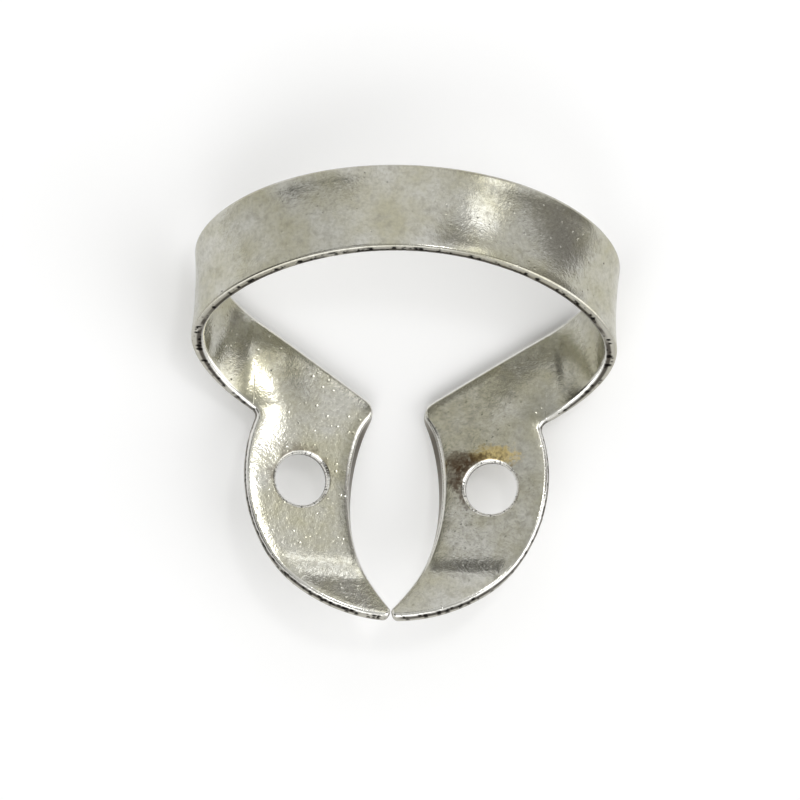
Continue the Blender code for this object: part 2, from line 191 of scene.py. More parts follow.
# %% Both edges of a jaw, rib by rib
def jaw_outline():
    """Spots and outward directions of the front and the rear edge, from the bend to the tip."""
    gap = np.array((WAIST_OUT, WAIST_BACK)) - TIP_CENTRE
    lower_radius = (gap @ gap - TIP_RADIUS ** 2) / (2 * (gap[0] + TIP_RADIUS))
    lower_centre = np.array((WAIST_OUT - lower_radius, WAIST_BACK))
    share = np.linspace(0.0, 1.0, NECK_RIBS + 1)[:, None]
    ends = (((BEND_OUT, BEND_REAR - STRAP_WIDTH), NOTCH_CENTRE + NOTCH_RADIUS * NECK_ACROSS),
            ((BEND_OUT, BEND_REAR), CORNER_CENTRE + REAR_CORNER_RADIUS * NECK_ACROSS))
    front, rear = (np.array(start) * (1 - share) + end * share for start, end in ends)
    fronts, front_ways = [front], [np.tile(-NECK_ACROSS, (NECK_RIBS + 1, 1))]
    rears, rear_ways = [rear], [np.tile(NECK_ACROSS, (NECK_RIBS + 1, 1))]

    def add(spots, ways, side, centre, radius, start, end, count):
        angles = np.linspace(start, end, count + 1)[1:]
        rays = np.stack((np.cos(angles), np.sin(angles)), axis=1)
        spots.append(centre + radius * rays)
        ways.append(side * rays)

    turn = 2 * math.pi
    across = angle_from((0.0, 0.0), NECK_ACROSS)
    add(fronts, front_ways, -1, NOTCH_CENTRE, NOTCH_RADIUS, across,
        angle_from(NOTCH_CENTRE, OUTER_CENTRE) % turn, CORNER_RIBS)
    add(rears, rear_ways, 1, CORNER_CENTRE, REAR_CORNER_RADIUS, across,
        angle_from(CORNER_CENTRE, UPPER_CENTRE) % turn, CORNER_RIBS)
    outer_end = angle_from(OUTER_CENTRE, TIP_CENTRE)
    add(fronts, front_ways, 1, OUTER_CENTRE, OUTER_EDGE_RADIUS,
        angle_from(OUTER_CENTRE, NOTCH_CENTRE), outer_end, JAW_RIBS)
    upper_turn = angle_from(UPPER_CENTRE, CORNER_CENTRE)
    lower_turn = angle_from(lower_centre, TIP_CENTRE)
    lengths = WAIST_RADIUS * upper_turn, -lower_radius * lower_turn
    upper_ribs = round(JAW_RIBS * lengths[0] / sum(lengths))
    add(rears, rear_ways, -1, UPPER_CENTRE, WAIST_RADIUS, upper_turn, 0.0, upper_ribs)
    add(rears, rear_ways, -1, lower_centre, lower_radius, 0.0, lower_turn, JAW_RIBS - upper_ribs)
    outer_end %= turn
    inner_end = angle_from(TIP_CENTRE, lower_centre) % turn
    middle = (outer_end + inner_end) / 2
    add(fronts, front_ways, 1, TIP_CENTRE, TIP_RADIUS, outer_end, middle, TIP_RIBS)
    add(rears, rear_ways, 1, TIP_CENTRE, TIP_RADIUS, inner_end, middle, TIP_RIBS)
    return [np.concatenate(part) for part in (fronts, front_ways, rears, rear_ways)]


print("ribs across neck and jaw:", len(jaw_outline()[0]))

# %% [markdown]
# ## Forming
#
# In the press the strap is bent into a bow that leans back, and its ends are turned under to
# carry the jaws. The bow's middle line is best described by the way it heads: level at the crown,
# straight down at the sides, and inward again after the bend. Its radius shrinks from the crown
# to the sides, which is what gives such a bow its flat top and round shoulders.

# %% The strap's middle line
def strap_line():
    """Heading angle, place and direction of the middle line, from the crown to the bend's end."""
    last = math.pi - PLATE_TILT
    side = np.linspace(0.0, math.pi / 2, LINE_STEPS * SIDE_RIBS + 1)
    bend = np.linspace(math.pi / 2, last, LINE_STEPS * BEND_RIBS + 1)
    extra = (BOW_HALF_WIDTH - BOW_RISE) / (3 * math.pi / 16 - 1 / 4)
    side_radius = BOW_RISE - extra / 4
    settled = smooth_step((bend - math.pi / 2) / (last - math.pi / 2) / BEND_SETTLE_SHARE)
    inward = BOW_HALF_WIDTH - BEND_OUT * math.cos(PLATE_TILT)
    share_side, share_bend = (running_sum(-np.cos(bend) * share, bend)[-1]
                              for share in (1 - settled, settled))
    bend_radius = (inward - side_radius * share_side) / share_bend
    heading = np.concatenate((side, bend[1:]))
    radius = np.concatenate((side_radius + extra * np.cos(side) ** 3,
                             (side_radius + (bend_radius - side_radius) * settled)[1:]))
    lean, slope = math.tan(BOW_LEAN), math.tan(NECK_SLOPE)
    turned = np.clip((heading - math.pi / 2) / (last - math.pi / 2), 0.0, 1.0)
    forward = np.where(turned > 0.0, lean + (slope - lean) * turned, lean * np.sin(heading))
    way = np.stack((np.cos(heading), -forward, -np.sin(heading)), axis=1)
    line = np.stack([running_sum(radius * part, heading) for part in way.T], axis=1)
    line += BEND_OUT * PLATE_ALONG + (BEND_REAR - STRAP_WIDTH / 2) * BACK - line[-1]
    line[:, 0] -= line[0, 0]
    print("radius in mm: crown %.1f, side %.1f, bend %.1f"
          % tuple(value / MM for value in (side_radius + extra, side_radius, bend_radius)))
    return heading[::LINE_STEPS], line[::LINE_STEPS], way[::LINE_STEPS]


PLATE_ALONG = np.array((math.cos(PLATE_TILT), 0.0, math.sin(PLATE_TILT)))
PLATE_UP = np.array((-math.sin(PLATE_TILT), 0.0, math.cos(PLATE_TILT)))
BACK = np.array((0.0, 1.0, 0.0))
strap = strap_line()

# %% [markdown]
# ## The sheet's cross-section
#
# Blanking leaves the two corners of an edge unlike. The side that the punch enters is drawn in and
# rolls over in a wide radius. The other side breaks away crisp. Here that crisp side is the
# inside of the bow and the top of the jaws. The jaw's inner edge is then ground at a slant, so
# that its lower side bites into the tooth's neck.
#
# Every point of a section keeps a note of where it lies: on a sheared wall, how deep in the
# sheet, on the crisp corner, or on the ground face. The finish reads these notes later.

# %% Profile of an edge, from the crisp side to the rolled side
def edge_profile():
    """Inset, height over mid-sheet, and the notes (wall, crisp) of each point down the edge."""
    half = SHEET_THICKNESS / 2
    crisp = np.linspace(0.0, math.pi / 2, CRISP_STEPS + 1)
    rolled = np.linspace(0.0, math.pi / 2, ROLLED_STEPS + 1)
    points = [(CRISP_EDGE_RADIUS * (1 - math.sin(turn)),
               half - CRISP_EDGE_RADIUS * (1 - math.cos(turn)),
               math.sin(turn) ** 2, math.sin(2 * turn)) for turn in crisp]
    top, foot = points[-1][1], ROLLED_EDGE_RADIUS - half
    points += [(0.0, top + (foot - top) * step / WALL_STEPS, 1.0, 0.0)
               for step in range(1, WALL_STEPS)]
    points += [(ROLLED_EDGE_RADIUS * (1 - math.cos(turn)),
                ROLLED_EDGE_RADIUS * (1 - math.sin(turn)) - half,
                math.cos(turn) ** 2, 0.0) for turn in rolled]
    return np.array(points)


PROFILE = edge_profile()
print("points round one edge:", len(PROFILE))

# %% One closed section
def section(point, ground):
    """The loop of points round the sheet at a rib, and each point's notes."""
    half = SHEET_THICKNESS / 2
    inset, height, wall, crisp = PROFILE.T
    rear_inset = inset + ground * GROUND_FACE_WIDTH * (height + half) / SHEET_THICKNESS
    deep = (half - height) / SHEET_THICKNESS
    shares = [step / SPANS for step in range(1, SPANS)]
    places = [point(inset[0], rear_inset[0], share, half) for share in shares]
    places += [point(0.0, back, 1.0, up) for back, up in zip(rear_inset, height)]
    places += [point(inset[-1], rear_inset[-1], share, -half) for share in reversed(shares)]
    places += [point(back, 0.0, 0.0, up) for back, up in zip(inset[::-1], height[::-1])]
    rear_notes = np.stack((wall, deep, crisp, wall * ground), axis=1)
    front_notes = np.stack((wall, deep, crisp, 0 * wall), axis=1)[::-1]
    face = np.zeros((SPANS - 1, 4))
    under = face + (0, 1, 0, 0)
    return places, np.concatenate((face, rear_notes, under, front_notes))


# %% Sections of the strap and of the plate
def strap_section(heading, middle, way):
    """The loop at a rib of the bow or the bend, slightly hollow towards the outside of the bow."""
    tilt = CROWN_TILT * max(0.0, math.cos(heading)) ** CROWN_TILT_FADE
    across = np.array((0.0, math.cos(tilt), -math.sin(tilt)))
    inward = np.cross(across, way)
    inward /= np.linalg.norm(inward)
    edge_way = np.cross(way, inward)
    edge_way /= np.linalg.norm(edge_way)
    turned = float(smooth_step((heading - math.pi / 2) / HOLLOW_FADE))
    hollow = STRAP_HOLLOW + turned * (NECK_CROWN - STRAP_HOLLOW)

    def point(front_inset, rear_inset, share, height):
        start = front_inset * edge_way - STRAP_WIDTH / 2 * across
        end = STRAP_WIDTH / 2 * across - rear_inset * edge_way
        spot = start + share * (end - start)
        bow = hollow * (1 - (2 * float(spot @ across) / STRAP_WIDTH) ** 2)
        return middle + spot + (height + bow) * inward

    return section(point, 0.0)


def plate_point(spot, height):
    """A point of a jaw plate. Its front bends up round an arc and runs on straight to the tip."""
    out, back = spot
    run = max(0.0, LIFT_START_BACK - back)
    turn = min(run / LIFT_RADIUS, LIFT_ANGLE)
    straight = run - LIFT_RADIUS * turn
    back += run - (LIFT_RADIUS - height) * math.sin(turn) - straight * math.cos(turn)
    height = LIFT_RADIUS - (LIFT_RADIUS - height) * math.cos(turn) + straight * math.sin(turn)
    return out * PLATE_ALONG + back * BACK + height * PLATE_UP


def plate_section(front, front_way, rear, rear_way):
    """The loop at a rib of the neck or the jaw, with its share of the ground face."""
    rise = smooth_step((GROUND_START_BACK - rear[1]) / (GROUND_START_BACK - GROUND_FULL_BACK))
    fade = smooth_step((GROUND_FULL_BACK - rear[1]) / (GROUND_FULL_BACK - GROUND_END_BACK))
    ground = float(rise * (1 - fade))

    def point(front_inset, rear_inset, share, height):
        start, end = front - front_inset * front_way, rear - rear_inset * rear_way
        spot = start + share * (end - start)
        crown = (NECK_CROWN * (1 - (2 * share - 1) ** 2)
                 * float(smooth_step((spot[0] - CROWN_FROM) / (BEND_OUT - CROWN_FROM))
                         * smooth_step((spot[1] - CROWN_FRONT) / (CROWN_FULL - CROWN_FRONT))))
        return plate_point(spot, height + crown)

    return section(point, ground)


# %% [markdown]
# A press never bends quite as far as it is set: the metal springs back a little, most of all next
# to the bend. The plates therefore curve on very slightly for two or three millimetres beside it.
# The bow's slight hollow also runs on round the bend into the neck. The solid leaves both out, but
# a shiny surface shows them clearly: they are why the lamp's reflection on the left jaw runs down
# from the neck, and why dark arcs cross both necks.

# %% Spring-back of a point, and the way round the outline
def spring_back(place):
    """Lifts the plate except beside the bend, so that it meets the bend in a slight curve."""
    out, back, height = place @ PLATE_ALONG, place @ BACK, place @ PLATE_UP
    beside = (smooth_step((out - SPRING_FROM) / (SPRING_TO - SPRING_FROM))
              * smooth_step((back - SPRING_FRONT) / (SPRING_REAR - SPRING_FRONT)))
    low = 1 - smooth_step(height / BEND_HEIGHT)
    return place + SPRING_BACK * (1 - beside) * low * PLATE_UP


def outline_way(loops):
    """How far each rib's front and rear edge lie along the blank's outline."""
    rear = SPANS - 1 + len(PROFILE) // 2
    front = rear + SPANS - 1 + len(PROFILE)
    ways = []
    for middle in (front, rear):
        spots = np.array([places[middle] for places, notes in loops])
        steps = np.linalg.norm(np.diff(spots, axis=0), axis=1)
        ways.append(np.concatenate(([0.0], np.cumsum(steps))))
    return ways[0], ways[0][-1] + ways[1][-1] - ways[1]


# %% The right half of the sheet as a mesh
NOTES = ("wall", "deep", "crisp", "ground")


def half_sheet():
    """Joins the sections with faces and keeps each point's notes as attributes."""
    loops = [strap_section(*rib) for rib in zip(*strap)]
    loops += [plate_section(*edges) for edges in list(zip(*jaw_outline()))[1:]]
    shape = bmesh.new()
    layers = [shape.verts.layers.float.new(name) for name in NOTES]
    along = shape.verts.layers.float.new("along")
    rows = []
    for (places, notes), front_way, rear_way in zip(loops, *outline_way(loops)):
        row = [shape.verts.new(spring_back(np.array(place))) for place in places]
        for index, (vertex, values) in enumerate(zip(row, notes)):
            for layer, value in zip(layers, values):
                vertex[layer] = value
            vertex[along] = front_way if index >= len(row) / 2 else rear_way
        rows.append(row)
    for row, following in zip(rows, rows[1:]):
        for index in range(len(row)):
            after = (index + 1) % len(row)
            shape.faces.new((row[index], row[after], following[after], following[index]))
    bmesh.ops.remove_doubles(shape, verts=shape.verts, dist=0.0005 * MM)
    bmesh.ops.recalc_face_normals(shape, faces=shape.faces)
    mesh = bpy.data.meshes.new("clamp_half_sheet")
    shape.to_mesh(mesh)
    shape.free()
    mesh.shade_smooth()
    print("half sheet:", len(mesh.vertices), "points,", len(mesh.polygons), "faces")
    return mesh


half = half_sheet()

# %% [markdown]
# ## Nodes, one small function
#
# The press, the finish and the lighting are all node trees. One function adds a node, sets its
# properties, and fills its inputs. An input gets a plain value, another node's output, or a whole
# node, which stands for its first output.

# %% Add a node
def add_node(tree, kind, inputs=None, **settings):
    """Adds a node, and fills each input, by name or by number, with a value or a link."""
    node = tree.nodes.new(kind)
    for name, value in settings.items():
        setattr(node, name, value)
    sockets = [socket for socket in node.inputs if socket.enabled]
    names = [socket.name for socket in sockets]
    for key, value in (inputs or {}).items():
        socket = sockets[key if isinstance(key, int) else names.index(key)]
        if isinstance(value, bpy.types.Node):
            value = next(output for output in value.outputs if output.enabled)
        if isinstance(value, bpy.types.NodeSocket):
            tree.links.new(value, socket)
        else:
            socket.default_value = value
    return node


def linear(code):
    """An sRGB hex colour as the linear colour that Blender works in."""
    parts = [int(code[index:index + 2], 16) / 255 for index in (1, 3, 5)]
    return tuple(part / 12.92 if part <= 0.04045 else ((part + 0.055) / 1.055) ** 2.4
                 for part in parts) + (1.0,)


print("mid grey in linear light:", round(linear("#808080")[0], 3))

# %% [markdown]
# ## The press tool, in Geometry Nodes
#
# The rest of the work is the same at both ends of the clamp, so a node tree does it. It mirrors the
# half sheet and welds the seam at the crown. Then it pits the sheared edges: where the metal broke
# away, small crumbs were torn out of the wall. A cell pattern chooses their places and a fixed
# seed keeps them the same in each run. Last it sets a punch on either plate and cuts the holes.
# The tree's inputs are the sizes a toolmaker would ask for.

# %% The punch: a turned tool that also breaks the rim at both faces
def turned_punch():
    """A solid of revolution, narrow within the sheet, that flares out past either face."""
    turns = np.linspace(0.0, RIM_TURN, RIM_STEPS + 1)
    top = SHEET_THICKNESS / 2
    upper = [(HOLE_RADIUS + HOLE_RIM * (1 - math.cos(turn)), top - HOLE_RIM * (1 - math.sin(turn)))
             for turn in turns]
    reach = SHEET_THICKNESS
    flare = upper[-1][0] + (reach - upper[-1][1]) / math.tan(math.pi / 2 - RIM_TURN)
    outline = [(0.0, reach), (flare, reach)] + upper[::-1]
    outline += [(r, -z) for r, z in reversed(outline)]
    shape = bmesh.new()
    verts = [shape.verts.new((r, 0.0, z)) for r, z in outline]
    edges = [shape.edges.new(pair) for pair in zip(verts, verts[1:])]
    bmesh.ops.spin(shape, geom=verts + edges, axis=(0, 0, 1), cent=(0, 0, 0),
                   angle=2 * math.pi, steps=HOLE_SIDES, use_merge=True)
    bmesh.ops.remove_doubles(shape, verts=shape.verts, dist=0.002 * MM)
    bmesh.ops.recalc_face_normals(shape, faces=shape.faces)
    mesh = bpy.data.meshes.new("forceps_hole_punch")
    shape.to_mesh(mesh)
    shape.free()
    mesh.shade_smooth()
    punch = bpy.data.objects.new("forceps_hole_punch", mesh)
    bpy.context.scene.collection.objects.link(punch)
    return punch


RIM_TURN = math.radians(55.0)
RIM_STEPS = 5
punch = turned_punch()
print("punch:", len(punch.data.polygons), "faces")

# %% The tree and its named inputs
press = bpy.data.node_groups.new("press_and_punch", "GeometryNodeTree")
press.interface.new_socket("Geometry", in_out="INPUT", socket_type="NodeSocketGeometry")
press.interface.new_socket("Geometry", in_out="OUTPUT", socket_type="NodeSocketGeometry")
for name, kind in (("Punch", "Object"), ("Hole Out", "Float"), ("Hole Back", "Float"),
                   ("Hole Up", "Float"), ("Plate Tilt", "Float"), ("Pit Spacing", "Float"),
                   ("Pit Height", "Float"), ("Pit Depth", "Float"), ("Pit Seed", "Float"),
                   ("Steel", "Material")):
    press.interface.new_socket(name, in_out="INPUT", socket_type="NodeSocket" + kind)
given = press.nodes.new("NodeGroupInput").outputs
print("inputs:", [item.name for item in press.interface.items_tree if item.in_out == "INPUT"])

# %% Mirror the half and weld the seam
other = add_node(press, "GeometryNodeTransform", {
    "Geometry": given["Geometry"], "Scale": (-1, 1, 1)})
flipped = add_node(press, "GeometryNodeFlipFaces", {"Mesh": other})
pair = add_node(press, "GeometryNodeJoinGeometry", {"Geometry": given["Geometry"]})
press.links.new(flipped.outputs[0], pair.inputs[0])
whole = add_node(press, "GeometryNodeMergeByDistance", {"Geometry": pair, "Distance": 0.001 * MM})
print("nodes so far:", len(press.nodes))

# %% Read the notes, and lay a cell pattern along the outline, shifted so that the sides differ
PIT_SIDE_SHIFT = 2.0
along, deep, wall, ground = (
    add_node(press, "GeometryNodeInputNamedAttribute", {"Name": name}, data_type="FLOAT")
    for name in ("along", "deep", "wall", "ground"))
place = add_node(press, "GeometryNodeInputPosition")
side = add_node(press, "ShaderNodeMath", {
    0: add_node(press, "ShaderNodeSeparateXYZ", {0: place})}, operation="SIGN")
step = add_node(press, "ShaderNodeMath", {0: along, 1: given["Pit Spacing"]}, operation="DIVIDE")
rows = add_node(press, "ShaderNodeMath", {
    0: SHEET_THICKNESS, 1: given["Pit Height"]}, operation="DIVIDE")
row = add_node(press, "ShaderNodeMath", {0: deep, 1: rows}, operation="MULTIPLY")
shift = add_node(press, "ShaderNodeMath", {
    0: side, 1: PIT_SIDE_SHIFT, 2: given["Pit Seed"]}, operation="MULTIPLY_ADD")
cells = add_node(press, "ShaderNodeTexVoronoi", {"Scale": 1.0, "Vector": add_node(
    press, "ShaderNodeCombineXYZ", {"X": step, "Y": row, "Z": shift})})
print("nodes so far:", len(press.nodes))

# %% Sink a pit in each cell, only in the middle of a sheared wall
PIT_LEAST, PIT_SPREAD, PIT_STEEPNESS = 0.16, 0.5, 8.0
chance = add_node(press, "FunctionNodeSeparateColor", {0: cells.outputs["Color"]})
reach = add_node(press, "ShaderNodeMath", {
    0: chance, 1: PIT_SPREAD, 2: PIT_LEAST}, operation="MULTIPLY_ADD")
hollow = add_node(press, "ShaderNodeMath", {0: reach, 1: cells}, operation="SUBTRACT")
hollow = add_node(press, "ShaderNodeMath", {
    0: hollow, 1: PIT_STEEPNESS}, operation="MULTIPLY", use_clamp=True)
for note, low, high in ((wall, 0.6, 0.95), (deep, 0.14, 0.26), (deep, 0.84, 0.68),
                        (ground, 0.3, 0.1)):
    window = add_node(press, "ShaderNodeMapRange", {
        "Value": note, "From Min": low, "From Max": high})
    hollow = add_node(press, "ShaderNodeMath", {0: hollow, 1: window}, operation="MULTIPLY")
noticed = add_node(press, "GeometryNodeStoreNamedAttribute", {
    "Geometry": whole, "Name": "pit", "Value": hollow}, data_type="FLOAT", domain="POINT")
sunk = add_node(press, "ShaderNodeMath", {0: add_node(
    press, "GeometryNodeInputNamedAttribute", {"Name": "pit"}, data_type="FLOAT"),
    1: given["Pit Depth"]}, operation="MULTIPLY")
sunk = add_node(press, "ShaderNodeMath", {0: sunk, 1: -1.0}, operation="MULTIPLY")
inward = add_node(press, "ShaderNodeVectorMath", {
    "Vector": add_node(press, "GeometryNodeInputNormal"), "Scale": sunk}, operation="SCALE")
pitted = add_node(press, "GeometryNodeSetPosition", {"Geometry": noticed, "Offset": inward})
print("nodes so far:", len(press.nodes))

# %% Set a punch on either plate
left_out = add_node(press, "ShaderNodeMath", {0: given["Hole Out"], 1: -1.0}, operation="MULTIPLY")
ends = [add_node(press, "ShaderNodeCombineXYZ", {
    "X": out, "Y": given["Hole Back"], "Z": given["Hole Up"]})
        for out in (left_out, given["Hole Out"])]
both = add_node(press, "GeometryNodeMeshLine", {
    "Count": 2, "Start Location": ends[0], "Offset": ends[1]}, mode="END_POINTS")
lean = add_node(press, "ShaderNodeMath", {0: side, 1: given["Plate Tilt"]}, operation="MULTIPLY")
lean = add_node(press, "ShaderNodeMath", {0: lean, 1: -1.0}, operation="MULTIPLY")
tool = add_node(press, "GeometryNodeObjectInfo", {"Object": given["Punch"]})
punches = add_node(press, "GeometryNodeInstanceOnPoints", {
    "Points": both, "Instance": tool.outputs["Geometry"],
    "Rotation": add_node(press, "ShaderNodeCombineXYZ", {"Y": lean})})
print("nodes so far:", len(press.nodes))

# %% Cut the holes with a sharp rim, and give the result its steel
cut = add_node(press, "GeometryNodeMeshBoolean", {"Mesh 1": pitted, "Mesh 2": punches},
               operation="DIFFERENCE", solver="EXACT")
real = add_node(press, "GeometryNodeRealizeInstances", {0: cut})
rimmed = add_node(press, "GeometryNodeStoreNamedAttribute", {
    "Geometry": real, "Name": "sharp_edge", "Value": cut.outputs["Intersecting Edges"]},
    data_type="BOOLEAN", domain="EDGE")
steeled = add_node(press, "GeometryNodeSetMaterial", {0: rimmed, "Material": given["Steel"]})
add_node(press, "NodeGroupOutput", {0: steeled})
print("nodes in the press tree:", len(press.nodes))

# %% [markdown]
# ## From half a sheet to the finished clamp
#
# The tree runs once. Its result is read back as a plain mesh, so that nothing live is left on the
# piece, and is then turned into the attitude in which the clamp lies on a table: on the two
# rear corners and the bottoms of the bends, with the jaws rising towards their tips.

# %% Run the press
steel = bpy.data.materials.new("tumbled_stainless")
blank = bpy.data.objects.new("clamp_half_sheet", half)
bpy.context.scene.collection.objects.link(blank)
pressing = blank.modifiers.new("press", "NODES")
pressing.node_group = press
plate_spot = spring_back(plate_point((HOLE_OUT, HOLE_BACK), 0.0))
wanted = {"Punch": punch, "Hole Out": plate_spot[0], "Hole Back": plate_spot[1],
          "Hole Up": plate_spot[2], "Plate Tilt": PLATE_TILT, "Pit Spacing": 0.28 * MM,
          "Pit Height": 0.42 * MM, "Pit Depth": 0.05 * MM, "Pit Seed": 0.37, "Steel": steel}
for item in press.interface.items_tree:
    if item.in_out == "INPUT" and item.name in wanted:
        pressing[item.identifier] = wanted[item.name]
evaluated = blank.evaluated_get(bpy.context.evaluated_depsgraph_get())
pressed = bpy.data.meshes.new_from_object(evaluated)
for tool_piece in (blank, punch):
    bpy.data.objects.remove(tool_piece, do_unlink=True)
print("pressed mesh:", len(pressed.vertices), "points")

# %% Lay it on the table
pitched = Matrix.Rotation(-REST_PITCH, 4, "X")
places = np.array([pitched @ vertex.co for vertex in pressed.vertices])
low, high = places.min(axis=0), places.max(axis=0)
rest = Matrix.Translation((0.0, -(low[1] + high[1]) / 2, -low[2])) @ pitched
pressed.transform(rest)
clamp = bpy.data.objects.new("clamp_sheet", pressed)
bpy.context.scene.collection.objects.link(clamp)
print("size in mm:", [round(float(value) / MM, 2) for value in high - low])

# %% Measure it against the solid
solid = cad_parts["clamp"].data
nearest = BVHTree.FromPolygons([vertex.co for vertex in solid.vertices],
                               [face.vertices for face in solid.polygons]).find_nearest
apart = [nearest(vertex.co)[3] for vertex in list(pressed.vertices)[::7]]
print("triangles:", sum(len(face.vertices) - 2 for face in pressed.polygons))
print("furthest from the solid: %.3f mm" % (max(apart) / MM))
shape = bmesh.new()
shape.from_mesh(pressed)
print("edges without two faces:", sum(not edge.is_manifold for edge in shape.edges))
shape.free()

# %% [markdown]
# ## The finish
#
# Tumbled spring stainless: a nearly neutral metal with a faint straw tint, neither brushed nor
# mirror bright. Thousands of small stones have left a dense, directionless texture of shallow
# dents about a fifth of a millimetre wide, which breaks a lamp's reflection into sparkles. The
# crisp corners are worn smoother, and are painted near-white as a highlight. The walls that the
# shear left are duller, and dark where the metal tore; their pits are painted dark as shade.
# Heat and water stains sit round the forceps holes.
#
# All of it is drawn with noise and cell patterns in the clamp's own coordinates, because the real
# texture runs on over every bend without a seam. The widest noise sets the tint, finer ones make
# the mottling and the specks, and the finest only tilt the light.

# %% Colours of the finish
PALE_STEEL = "#C5C4BC"
STRAW_STEEL = "#B4B19C"
DULL_STEEL = "#8F8C80"
# Near-white for the worn corners and the holes' rims: a painted highlight over their real polish.
WORN_AND_PAINTED_HIGHLIGHT = "#F1F0EC"
WALL_STEEL = "#B4B1A8"
TORN_STEEL = "#2C241D"
GROUND_STEEL = "#5C564C"
# Painted shade: near-black for the pits in the walls and for the nicks.
PAINTED_HOLLOW_SHADE = "#15120F"
STAIN_BROWN = "#432D18"
STAIN_STRAW = "#D0B870"
print("steel from", PALE_STEEL, "to", STRAW_STEEL)

# %% Sizes of the finish
CLOUD_SIZE = 3.5 * MM
MOTTLE_SIZE = 0.6 * MM
DENT_SIZE = 0.22 * MM
GRAIN_SIZE = 0.09 * MM
DIMPLE_SPACING = 0.34 * MM
NICK_SPACING = 0.8 * MM
TEAR_SIZE = 2.6 * MM
DENT_DEPTH = 0.016 * MM
print("dents every %.2f mm" % (DENT_SIZE / MM))

# %% The steel's clouds and mottling
steel.use_nodes = True
finish = steel.node_tree
finish.nodes.clear()
spot = add_node(finish, "ShaderNodeTexCoord").outputs["Object"]
clouds, mottle, dents, grain, tears = (
    add_node(finish, "ShaderNodeTexNoise", {
        "Vector": spot, "Scale": 1 / size, "Detail": detail, "Roughness": 0.6})
    for size, detail in ((CLOUD_SIZE, 4.0), (MOTTLE_SIZE, 3.0), (DENT_SIZE, 2.0), (GRAIN_SIZE, 1.0),
                         (TEAR_SIZE, 2.0)))
cloudy = add_node(finish, "ShaderNodeMapRange", {
    "Value": clouds, "From Min": 0.38, "From Max": 0.64})
colour = add_node(finish, "ShaderNodeMix", {
    "Factor": cloudy, "A": linear(PALE_STEEL), "B": linear(STRAW_STEEL)}, data_type="RGBA")
dull = add_node(finish, "ShaderNodeMapRange", {
    "Value": mottle, "From Min": 0.52, "From Max": 0.78, "To Max": 0.55})
colour = add_node(finish, "ShaderNodeMix", {
    "Factor": dull, "A": colour, "B": linear(DULL_STEEL)}, data_type="RGBA")
speck = add_node(finish, "ShaderNodeMapRange", {
    "Value": dents, "From Min": 0.42, "From Max": 0.7, "To Max": 0.3})
colour = add_node(finish, "ShaderNodeMix", {
    "Factor": speck, "A": colour, "B": linear(DULL_STEEL)}, data_type="RGBA")
print("nodes in the finish:", len(finish.nodes))

# %% [markdown]
# ### Dimples and nicks
#
# A stone's corner leaves a round, shallow bowl that flashes in a lamp's light. A sharper blow
# leaves a nick, sunk by the bump and painted dark as the shade in it. Both come from cell patterns:
# the distance to a cell's middle gives the round outline, and the cell's random colour decides how
# large the mark is, if any.

# %% Dimples
dimple_cells = add_node(finish, "ShaderNodeTexVoronoi", {
    "Vector": spot, "Scale": 1 / DIMPLE_SPACING})
dimple_chance = add_node(finish, "ShaderNodeSeparateColor", {0: dimple_cells.outputs["Color"]})
dimple_reach = add_node(finish, "ShaderNodeMapRange", {
    "Value": dimple_chance, "From Min": 0.45, "From Max": 1.0, "To Max": 0.34})
dimple = add_node(finish, "ShaderNodeMath", {
    0: dimple_reach, 1: dimple_cells}, operation="SUBTRACT")
dimple = add_node(finish, "ShaderNodeMath", {0: dimple, 1: 0.0}, operation="MAXIMUM")
print("dimples about every", round(DIMPLE_SPACING / MM, 2), "mm")

# %% Nicks
NICK_DARKNESS = 0.7
nick_cells = add_node(finish, "ShaderNodeTexVoronoi", {"Vector": spot, "Scale": 1 / NICK_SPACING})
nick_chance = add_node(finish, "ShaderNodeSeparateColor", {0: nick_cells.outputs["Color"]})
nick_size = add_node(finish, "ShaderNodeMapRange", {
    "Value": nick_chance, "From Min": 0.35, "From Max": 1.0, "To Max": 0.11})
nick = add_node(finish, "ShaderNodeMath", {0: nick_size, 1: nick_cells}, operation="SUBTRACT")
nick = add_node(finish, "ShaderNodeMapRange", {"Value": nick, "From Min": 0.0, "From Max": 0.04})
nick_shade = add_node(finish, "ShaderNodeMath", {0: nick, 1: NICK_DARKNESS}, operation="MULTIPLY")
# Painted shade: each nick is darkened towards black.
colour = add_node(finish, "ShaderNodeMix", {
    "Factor": nick_shade, "A": colour, "B": linear(PAINTED_HOLLOW_SHADE)}, data_type="RGBA")
print("nicks about every", round(NICK_SPACING / MM, 1), "mm")

# %% [markdown]
# ### Stains
#
# Each stain is an oval of discoloured steel, set by its distance from a forceps hole in the
# plate's own directions. Noise frays its border. The right hole has a scorched brown patch
# towards the tooth, with a straw-yellow one beside it, and the left hole a faint dark ring.

# %% How far a point lies from an axis through a plate
def gap_from_axis(side_sign, place, reach_out, reach_back):
    """The distance along the plate from an axis through it, counted in the two reaches."""
    centre = Vector(place)
    centre.x *= side_sign
    ways = (Vector((side_sign * PLATE_ALONG[0], 0.0, PLATE_ALONG[2])) / reach_out,
            Vector(BACK) / reach_back)
    away = add_node(finish, "ShaderNodeVectorMath", {
        0: spot, 1: rest @ centre}, operation="SUBTRACT")
    parts = [add_node(finish, "ShaderNodeVectorMath", {
        0: away, 1: rest.to_3x3() @ way}, operation="DOT_PRODUCT").outputs["Value"] for way in ways]
    flat = add_node(finish, "ShaderNodeCombineXYZ", {0: parts[0], 1: parts[1]})
    return add_node(finish, "ShaderNodeVectorMath", {0: flat}, operation="LENGTH").outputs["Value"]


print("plate's way out:", PLATE_ALONG.round(2))

